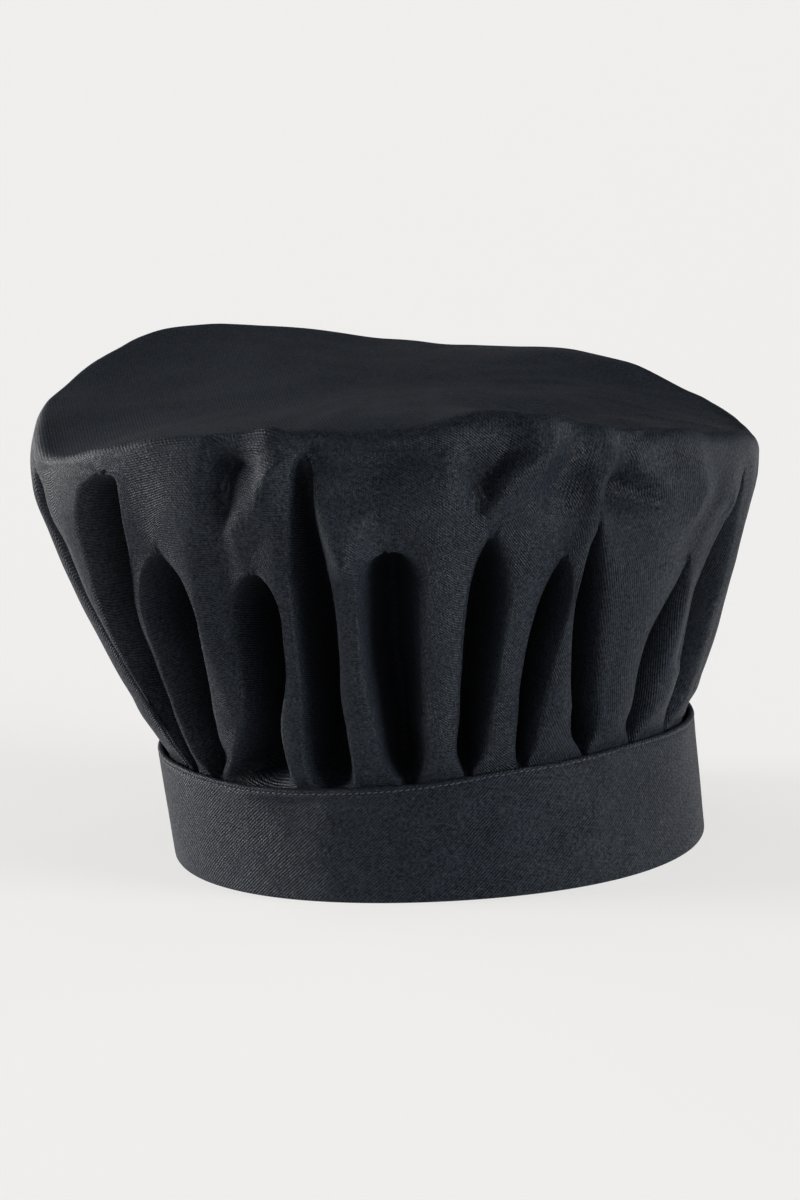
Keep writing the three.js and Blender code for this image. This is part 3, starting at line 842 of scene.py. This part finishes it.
def make_band():
    azimuth = np.arange(BAND_COLUMNS) * 360 / BAND_COLUMNS
    rows = []
    for corner in BAND_SECTION:
        pucker = 0.0
        if corner["up"] == 1 and -3 < corner["rise"] < -0.5 and corner["inward"] < 1:
            pucker = PUCKER * cloth_noise(azimuth, 0 * azimuth, 2 * STITCH_PITCH, 1, 31)
        rows.append(band_place(azimuth, corner["up"], corner["inward"] - pucker, corner["rise"]))
    points = np.stack(rows)
    count = len(BAND_SECTION)
    along = np.radians(azimuth) * BAND_CLOTH_RADIUS
    cell = 2 * np.pi * BAND_CLOTH_RADIUS / BAND_COLUMNS
    faces = []
    uvs = []
    reach = np.concatenate([[0], np.cumsum(np.linalg.norm(np.diff(points[:, 0], axis=0), axis=-1))])
    reach = np.append(reach, reach[-1] + 1)
    for r in range(count):
        low = r * BAND_COLUMNS
        high = (r + 1) % count * BAND_COLUMNS
        for c in range(BAND_COLUMNS):
            d = (c + 1) % BAND_COLUMNS
            faces.append((low + c, low + d, high + d, high + c))
            right = along[c] + cell
            uvs += [(along[c], reach[r]), (right, reach[r]), (right, reach[r + 1]), (along[c], reach[r + 1])]
    return mesh_object("band_cloth", points.reshape(-1, 3), faces, uvs)


def evenly(azimuths, path, pitch):
    """Azimuths that part a path round the band into stitches of one pitch."""
    length = np.concatenate([[0], np.cumsum(np.linalg.norm(np.diff(path, axis=0), axis=-1))])
    count = int(length[-1] / pitch)
    marks = (np.arange(count) + 0.5) * length[-1] / count
    return np.interp(marks, length, azimuths)


def capsule(centre, along, outward, length, radius, sides=6):
    """Points and faces of one short rounded stitch lying on the cloth."""
    across = np.cross(outward, along)
    points = []
    profile = [(-0.5, 0.25), (-0.4, 0.75), (-0.2, 1.0), (0.2, 1.0), (0.4, 0.75), (0.5, 0.25)]
    for at, wide in profile:
        sag = -0.9 * radius * (2 * abs(at)) ** 2.5
        for k in range(sides):
            turn = 2 * np.pi * k / sides
            ring = across * np.cos(turn) * radius * wide + outward * np.sin(turn) * radius * wide * 0.8
            points.append(centre + along * at * length + outward * sag + ring)
    faces = []
    for r in range(len(profile) - 1):
        for k in range(sides):
            n = (k + 1) % sides
            faces.append((r * sides + k, r * sides + n, (r + 1) * sides + n, (r + 1) * sides + k))
    faces.append(tuple(range(sides))[::-1])
    faces.append(tuple((len(profile) - 1) * sides + k for k in range(sides)))
    return points, faces


def make_stitches():
    rng = np.random.default_rng(17)
    points = []
    faces = []

    def on_band(azimuth, below):
        return band_place(np.array([azimuth]), np.ones(1), STITCH_SUNK, -below)[0]

    def add(azimuth, below, lean, length, radius):
        right = on_band(azimuth + 0.2, below) - on_band(azimuth - 0.2, below)
        right /= np.linalg.norm(right)
        up = np.array([0, 0, 1.0])
        outward = np.cross(right, up)
        along = right * np.cos(lean) + up * np.sin(lean)
        centre = on_band(azimuth, below)
        more, their = capsule(centre, along, outward / np.linalg.norm(outward), length, radius)
        shift = len(points)
        points.extend(more)
        faces.extend(tuple(k + shift for k in face) for face in their)

    fine = np.linspace(0, 360, 7201)
    path = band_place(fine, 1 + 0 * fine, 0.2, -1.5)
    for azimuth in evenly(fine, path, STITCH_PITCH):
        below = around(STITCH_DROP, azimuth, "drop") + rng.normal(0, 0.05)
        lean = STITCH_LEAN + rng.normal(0, 0.06)
        add(azimuth, below, lean, STITCH_LENGTH * rng.uniform(0.9, 1.05), STITCH_RADIUS)
    # the end of the strip, sewn down inside: one short upright row with a turned corner
    side_length = SIDE_ROW["pitch"] * 0.8
    for k in range(SIDE_ROW["count"]):
        below = SIDE_ROW["below"] + SIDE_ROW["pitch"] * k
        azimuth = SIDE_ROW["at"] + 0.9 * (k / SIDE_ROW["count"]) ** 2
        add(azimuth, below, np.radians(SIDE_ROW["lean"]), side_length, SIDE_ROW["radius"])
    add(SIDE_ROW["at"] - 0.9, SIDE_ROW["below"] - 0.6, 0.1, side_length, SIDE_ROW["radius"])
    return mesh_object("band_topstitching", np.array(points), faces)


crown = make_crown()
band = make_band()
stitches = make_stitches()


# Materials
class Nodes:
    """Short calls for building a material's nodes."""

    def __init__(self, name):
        self.material = bpy.data.materials.new(name)
        self.material.use_nodes = True
        self.tree = self.material.node_tree
        self.shader = self.tree.nodes["Principled BSDF"]

    def add(self, kind, inputs=(), **settings):
        node = self.tree.nodes.new("ShaderNode" + kind)
        for name, value in settings.items():
            setattr(node, name, value)
        for socket, value in dict(inputs).items():
            self.put(node.inputs[socket], value)
        return node

    def put(self, socket, value):
        if isinstance(value, bpy.types.NodeSocket):
            self.tree.links.new(value, socket)
        else:
            socket.default_value = value

    def math(self, operation, a, b=0.0, c=0.0):
        node = self.add("Math", operation=operation)
        for socket, value in zip(node.inputs, (a, b, c)):
            self.put(socket, value)
        return node.outputs[0]

    def ramp(self, value, low, high, start=0.0, end=1.0):
        limits = {"From Min": low, "From Max": high, "To Min": start, "To Max": end}
        return self.add("MapRange", {"Value": value, **limits}).outputs[0]

    def noise(self, place, scale, detail=2.0, roughness=0.5):
        inputs = {"Vector": place, "Scale": scale, "Detail": detail, "Roughness": roughness}
        return self.add("TexNoise", inputs).outputs[0]


# The twill's ribs, drawn a little coarser than the cloth's so that they show, and how many
# pitches each float of yarn is long.
TWILL_PITCH = 0.86
FLOAT_LENGTH = 1.5
# The cloth's unevennesses, as features a metre.
NOISE_SCALE = {
    "wander": 260.0,  # of the ribs from a straight line
    "strength": 90.0,  # of the weave
    "fuzz": 2300.0,
    "speck": 1000.0,
    "patch": 42.0,
    "lint": 700.0,
}
# Painted shade: the share by which the cloth's colour is darkened deep in the folds, and how much more matt
# it is there.
PAINTED_SHADE_IN_FOLDS = 0.85
MATT_IN_FOLDS = 0.25


def twill(name, line_angle, gloss, dark, light):
    """Twill of a given line direction in its flat pattern, with painted shade and more matt inside the
    folds.
    """
    n = Nodes(name)
    place = n.add("UVMap", uv_map="cloth").outputs[0]
    solid = n.add("TexCoord").outputs["Object"]
    parts = n.add("SeparateXYZ", {"Vector": place}).outputs
    turn = np.radians(line_angle)

    def times(value, factor):
        return n.math("MULTIPLY", value, factor)

    def centred(value, factor):
        return times(n.math("SUBTRACT", value, 0.5), factor)

    # the distance across the diagonal lines and along them
    across = n.math("ADD", times(parts[0], -np.sin(turn)), times(parts[1], np.cos(turn)))
    along = n.math("ADD", times(parts[0], np.cos(turn)), times(parts[1], np.sin(turn)))
    wander = centred(n.noise(solid, NOISE_SCALE["wander"], 3.0), 0.5)
    rib = n.math("SINE", times(n.math("ADD", across, wander), 2 * np.pi / TWILL_PITCH))
    # each yarn's floats lie half a float on from its neighbour's
    float_turns = times(along, 2 * np.pi / (TWILL_PITCH * FLOAT_LENGTH))
    yarn = n.math("SINE", n.math("ADD", float_turns, times(across, np.pi / TWILL_PITCH)))
    strength = n.ramp(n.noise(solid, NOISE_SCALE["strength"], 2.0), 0.35, 0.65, 0.5, 1.3)
    weave = times(n.math("ADD", times(rib, 0.42), times(yarn, 0.16)), strength)
    fuzz = n.noise(solid, NOISE_SCALE["fuzz"], 2.0, 0.7)
    speck = n.noise(solid, NOISE_SCALE["speck"], 1.0)
    patch = n.noise(solid, NOISE_SCALE["patch"], 3.0, 0.55)
    height = n.math("ADD", weave, n.math("ADD", times(fuzz, 0.7), times(speck, 0.9)))
    bump = n.add("Bump", {"Height": height, "Strength": 0.9, "Distance": 0.0002})
    tone = n.math("ADD", times(weave, 0.75), centred(fuzz, 2.6))
    tone = n.math("ADD", tone, centred(speck, 3.0))
    tone = n.math("ADD", tone, centred(patch, 0.7))
    lint = n.ramp(n.noise(solid, NOISE_SCALE["lint"], 0.0), 0.72, 0.8)
    tone = n.math("ADD", tone, lint)
    # painted shade: the colour is drawn darker the deeper the cloth lies in a fold
    painted_fold_shade = n.add("Attribute", attribute_name="painted_fold_shade").outputs["Fac"]
    unshaded_share = n.math("SUBTRACT", 1.0, times(painted_fold_shade, PAINTED_SHADE_IN_FOLDS))
    colour = n.add("Mix", data_type="RGBA")
    n.put(colour.inputs["Factor"], times(n.ramp(tone, -0.75, 1.25), unshaded_share))
    n.put(colour.inputs["A"], (*dark, 1))
    n.put(colour.inputs["B"], (*light, 1))
    n.put(n.shader.inputs["Base Color"], colour.outputs["Result"])
    matt = n.math("ADD", n.ramp(tone, -0.8, 0.9, 0.62, 0.4), times(painted_fold_shade, MATT_IN_FOLDS))
    n.put(n.shader.inputs["Roughness"], matt)
    n.put(n.shader.inputs["Specular IOR Level"], gloss)
    n.put(n.shader.inputs["Sheen Weight"], 0.02)
    n.put(n.shader.inputs["Sheen Roughness"], 0.45)
    n.put(n.shader.inputs["Sheen Tint"], (0.5, 0.56, 0.68, 1))
    n.put(n.shader.inputs["Normal"], bump.outputs[0])
    return n.material


def thread(name):
    """Spun sewing thread, a little glossier than the cloth."""
    n = Nodes(name)
    solid = n.add("TexCoord").outputs["Object"]
    ply = n.noise(solid, 5200.0, 1.0)
    tone = n.math("ADD", ply, n.math("MULTIPLY", n.noise(solid, 700.0, 1.0), 0.5))
    colour = n.add("Mix", data_type="RGBA")
    n.put(colour.inputs["Factor"], n.ramp(tone, 0.5, 1.0))
    n.put(colour.inputs["A"], (0.02, 0.022, 0.027, 1))
    n.put(colour.inputs["B"], (0.06, 0.066, 0.078, 1))
    n.put(n.shader.inputs["Base Color"], colour.outputs["Result"])
    n.put(n.shader.inputs["Roughness"], n.ramp(ply, 0.3, 0.7, 0.4, 0.6))
    bump = n.add("Bump", {"Height": ply, "Strength": 0.5, "Distance": 0.00005})
    n.put(n.shader.inputs["Normal"], bump.outputs[0])
    return n.material


DARKEST = (0.0007, 0.0014, 0.003)
LIGHTEST = (0.0207, 0.0272, 0.0378)
crown.data.materials.append(twill("crown_twill", 58.0, 0.13, DARKEST, LIGHTEST))
band.data.materials.append(twill("band_twill", 40.0, 0.11, DARKEST, LIGHTEST))
stitches.data.materials.append(thread("matching_thread"))

for piece, material_slot in ((crown, "crown_twill"), (band, "band_twill"), (stitches, "band_twill")):
    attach(piece, "root")
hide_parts("crown")
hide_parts("band")


# Floor, light and camera
# A table lit from below keeps the pale ground even where the softboxes throw shadows.
FLOOR_GLOW = 0.65
FLOOR_HALF = 6.0  # metres


def make_floor():
    mesh = bpy.data.meshes.new("floor")
    corners = [(x * FLOOR_HALF, y * FLOOR_HALF, 0) for x, y in ((-1, -1), (1, -1), (1, 1), (-1, 1))]
    mesh.from_pydata(corners, [], [(0, 1, 2, 3)])
    floor = bpy.data.objects.new("floor", mesh)
    bpy.context.scene.collection.objects.link(floor)
    n = Nodes("pale_floor")
    n.put(n.shader.inputs["Base Color"], (0.33, 0.328, 0.326, 1))
    n.put(n.shader.inputs["Emission Color"], (1, 0.992, 0.984, 1))
    n.put(n.shader.inputs["Emission Strength"], FLOOR_GLOW)
    n.put(n.shader.inputs["Roughness"], 0.9)
    n.put(n.shader.inputs["Specular IOR Level"], 0.1)
    mesh.materials.append(n.material)


def studio():
    """Soft lights on both sides of the hat and before it, in a dark room with a pale ceiling."""
    world = bpy.data.worlds.new("studio")
    world.use_nodes = True
    tree = world.node_tree
    background = tree.nodes["Background"]
    look = tree.nodes.new("ShaderNodeTexCoord").outputs["Generated"]

    def math(operation, *values):
        node = tree.nodes.new("ShaderNodeMath")
        node.operation = operation
        for socket, value in zip(node.inputs, values):
            if isinstance(value, bpy.types.NodeSocket):
                tree.links.new(value, socket)
            else:
                socket.default_value = value
        return node.outputs[0]

    def along(axis):
        node = tree.nodes.new("ShaderNodeVectorMath")
        node.operation = "DOT_PRODUCT"
        tree.links.new(look, node.inputs[0])
        node.inputs[1].default_value = tuple(axis)
        return node.outputs["Value"]

    def span(value, low, high, start=0.0, end=1.0):
        node = tree.nodes.new("ShaderNodeMapRange")
        node.interpolation_type = "SMOOTHSTEP"
        tree.links.new(value, node.inputs["Value"])
        for name, number in (("From Min", low), ("From Max", high), ("To Min", start), ("To Max", end)):
            node.inputs[name].default_value = number
        return node.outputs[0]

    def edge(offset, half, blur):
        return span(math("ABSOLUTE", offset), half - blur, half + blur, 1.0, 0.0)

    up = along((0, 0, 1))
    total = span(up, 0.6, 0.95, ROOM_LEVEL, ROOM_ABOVE)
    for box in SOFT_BOXES:
        a = np.radians(box["azimuth"])
        e = np.radians(box["elevation"])
        centre = Vector((np.sin(a) * np.cos(e), -np.cos(a) * np.cos(e), np.sin(e)))
        side = Vector((np.cos(a), np.sin(a), 0))
        high = centre.cross(side) * -1
        ahead = along(centre)
        front = math("GREATER_THAN", ahead, 0.05)
        depth = math("MAXIMUM", ahead, 0.05)
        across = edge(math("DIVIDE", along(side), depth), box["half_width"], box["blur"])
        tall = edge(math("DIVIDE", along(high), depth), box["half_height"], box["blur"])
        shown = math("MULTIPLY", math("MULTIPLY", across, tall), front)
        total = math("MULTIPLY_ADD", shown, box["level"], total)
    tree.links.new(total, background.inputs["Strength"])
    background.inputs["Color"].default_value = (1, 0.995, 0.985, 1)
    bpy.context.scene.world = world


# The room's brightness at the horizon and overhead, and its softboxes: where they are, their
# half sizes as tangents, how soft their edges are, and their brightness over the room's.
ROOM_LEVEL = 0.03
ROOM_ABOVE = 0.3
SOFT_BOXES = records(
    "azimuth elevation half_width half_height blur level",
    [
        (-100, 5, 0.25, 0.22, 0.1, 28),
        (-140, 6, 0.25, 0.25, 0.1, 6),
        (60, 9, 0.25, 0.22, 0.1, 18),
        (5, 14, 0.5, 0.25, 0.1, 0.8),
        (120, 6, 0.2, 0.25, 0.1, 3),
    ],
)
make_floor()
studio()

# The camera, from the photo's own view of the band's lower edge.
CAMERA_ELEVATION = 10.84
CAMERA_ROLL = 2.81
CAMERA_DISTANCE = 2200.0
CAMERA_TARGET = (-0.45, 1.5, 82.29)
MM_PER_PIXEL = 0.338
FRAME_HEIGHT = 1200
SENSOR_HEIGHT = 24.0


def make_camera():
    e = np.radians(CAMERA_ELEVATION)
    r = np.radians(CAMERA_ROLL)
    back = np.array([0, -np.cos(e), np.sin(e)])
    right = np.array([1.0, 0, 0])
    up = np.array([0, np.sin(e), np.cos(e)])
    x_axis = right * np.cos(r) - up * np.sin(r)
    y_axis = right * np.sin(r) + up * np.cos(r)
    place = (np.array(CAMERA_TARGET) + back * CAMERA_DISTANCE) * MM
    data = bpy.data.cameras.new("camera")
    data.sensor_fit = "VERTICAL"
    data.sensor_height = SENSOR_HEIGHT
    data.lens = SENSOR_HEIGHT * CAMERA_DISTANCE / MM_PER_PIXEL / FRAME_HEIGHT
    camera = bpy.data.objects.new("camera", data)
    camera.matrix_world = Matrix(
        [[x_axis[k], y_axis[k], back[k], place[k]] for k in range(3)] + [[0, 0, 0, 1]]
    )
    bpy.context.scene.collection.objects.link(camera)
    bpy.context.scene.camera = camera


make_camera()
bpy.context.scene.view_settings.view_transform = "Standard"
